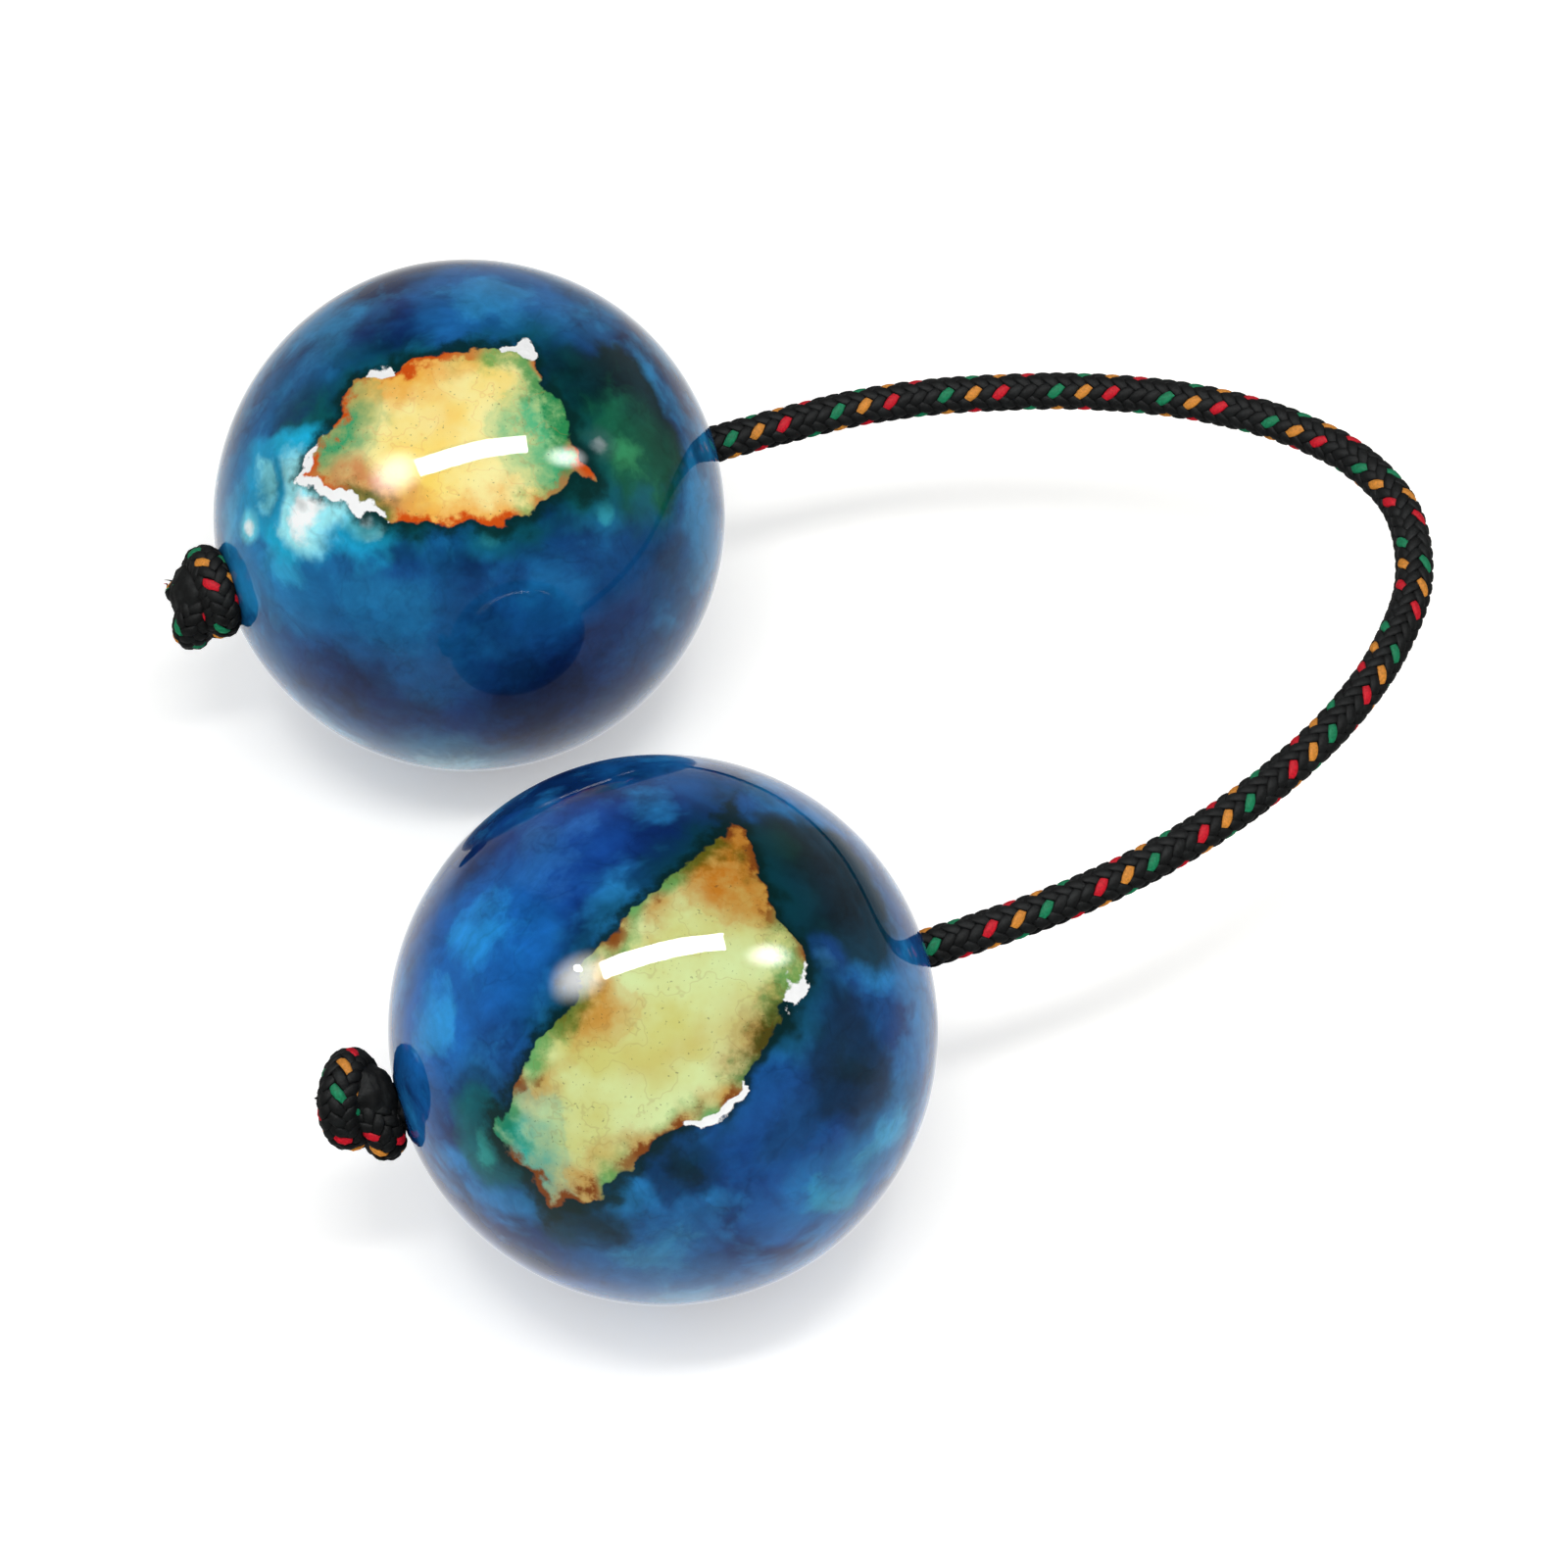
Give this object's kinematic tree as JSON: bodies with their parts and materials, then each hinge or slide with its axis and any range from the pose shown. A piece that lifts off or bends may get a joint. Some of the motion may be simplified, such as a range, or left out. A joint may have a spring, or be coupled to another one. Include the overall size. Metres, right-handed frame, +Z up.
{
  "type": "kashaka rattle",
  "caption": "Hollow gourd shells filled with loose seeds, joined by a knotted braided cord and swung in one hand so that they rattle and strike each other.",
  "frame": {"origin": "on the resting surface, midway between the two gourds", "axes": "+X along the bores towards the loop of the cord, +Y from the front gourd to the rear gourd, +Z up"},
  "size_m": [0.132, 0.1284, 0.0555],
  "materials": {
    "shell": "dyed blue with a marbled leaf patch under thick gloss lacquer",
    "cord": "black braid with green, orange and red flecks",
    "seed": "dry matte seed coat"
  },
  "bodies": {
    "rear_cord_end": {"cord_stretch_1": "cord", "rear_cord_core": "cord", "rear_knot": "cord"},
    "rear_gourd": {"rear_gourd_shell": "shell"},
    "rear_seed_heap": {"rear_seed_01": "seed", "rear_seed_02": "seed", "rear_seed_03": "seed", "rear_seed_04": "seed", "rear_seed_05": "seed", "rear_seed_06": "seed", "rear_seed_07": "seed", "rear_seed_08": "seed", "rear_seed_09": "seed", "rear_seed_10": "seed", "rear_seed_11": "seed", "rear_seed_12": "seed"},
    "cord_link_2": {"cord_stretch_2": "cord"},
    "cord_link_3": {"cord_stretch_3": "cord"},
    "cord_link_4": {"cord_stretch_4": "cord"},
    "cord_link_5": {"cord_stretch_5": "cord"},
    "front_cord_end": {"cord_stretch_6": "cord", "front_cord_core": "cord", "front_knot": "cord"},
    "front_gourd": {"front_gourd_shell": "shell"},
    "front_seed_heap": {"front_seed_01": "seed", "front_seed_02": "seed", "front_seed_03": "seed", "front_seed_04": "seed", "front_seed_05": "seed", "front_seed_06": "seed", "front_seed_07": "seed", "front_seed_08": "seed", "front_seed_09": "seed", "front_seed_10": "seed", "front_seed_11": "seed", "front_seed_12": "seed"}
  },
  "joints": [
    {"name": "cord_bend_1", "type": "hinge", "parent": "rear_cord_end", "child": "cord_link_2", "pos_m": [0.04442, 0.03552, 0.03081], "axis": [-0.0732, 0, 0.9973], "range_deg": [-1.1, 17.4]},
    {"name": "cord_bend_2", "type": "hinge", "parent": "cord_link_2", "child": "cord_link_3", "pos_m": [0.07558, 0.02511, 0.0331], "axis": [-0.0732, 0, 0.9973], "range_deg": [-2, 31]},
    {"name": "cord_bend_3", "type": "hinge", "parent": "cord_link_3", "child": "cord_link_4", "pos_m": [0.09474, -0.00006, 0.03451], "axis": [-0.0732, 0, 0.9973], "range_deg": [-5.3, 82.5]},
    {"name": "cord_bend_4", "type": "hinge", "parent": "cord_link_4", "child": "cord_link_5", "pos_m": [0.0756, -0.02537, 0.0331], "axis": [-0.0732, 0, 0.9973], "range_deg": [-2, 31]},
    {"name": "cord_bend_5", "type": "hinge", "parent": "cord_link_5", "child": "front_cord_end", "pos_m": [0.04442, -0.03555, 0.03081], "axis": [-0.0732, 0, 0.9973], "range_deg": [-1.1, 17.4]},
    {"name": "rear_gourd_spin", "type": "hinge", "parent": "rear_cord_end", "child": "rear_gourd", "pos_m": [0, 0.03625, 0.02755], "axis": [0.9973, 0, 0.0732], "continuous": true},
    {"name": "rear_seeds_roll", "type": "hinge", "parent": "rear_gourd", "child": "rear_seed_heap", "pos_m": [0, 0.03625, 0.02755], "axis": [0.9973, 0, 0.0732], "continuous": true},
    {"name": "front_gourd_spin", "type": "hinge", "parent": "front_cord_end", "child": "front_gourd", "pos_m": [0, -0.03625, 0.02755], "axis": [0.9973, 0, 0.0732], "continuous": true},
    {"name": "front_seeds_roll", "type": "hinge", "parent": "front_gourd", "child": "front_seed_heap", "pos_m": [0, -0.03625, 0.02755], "axis": [0.9973, 0, 0.0732], "continuous": true}
  ]
}
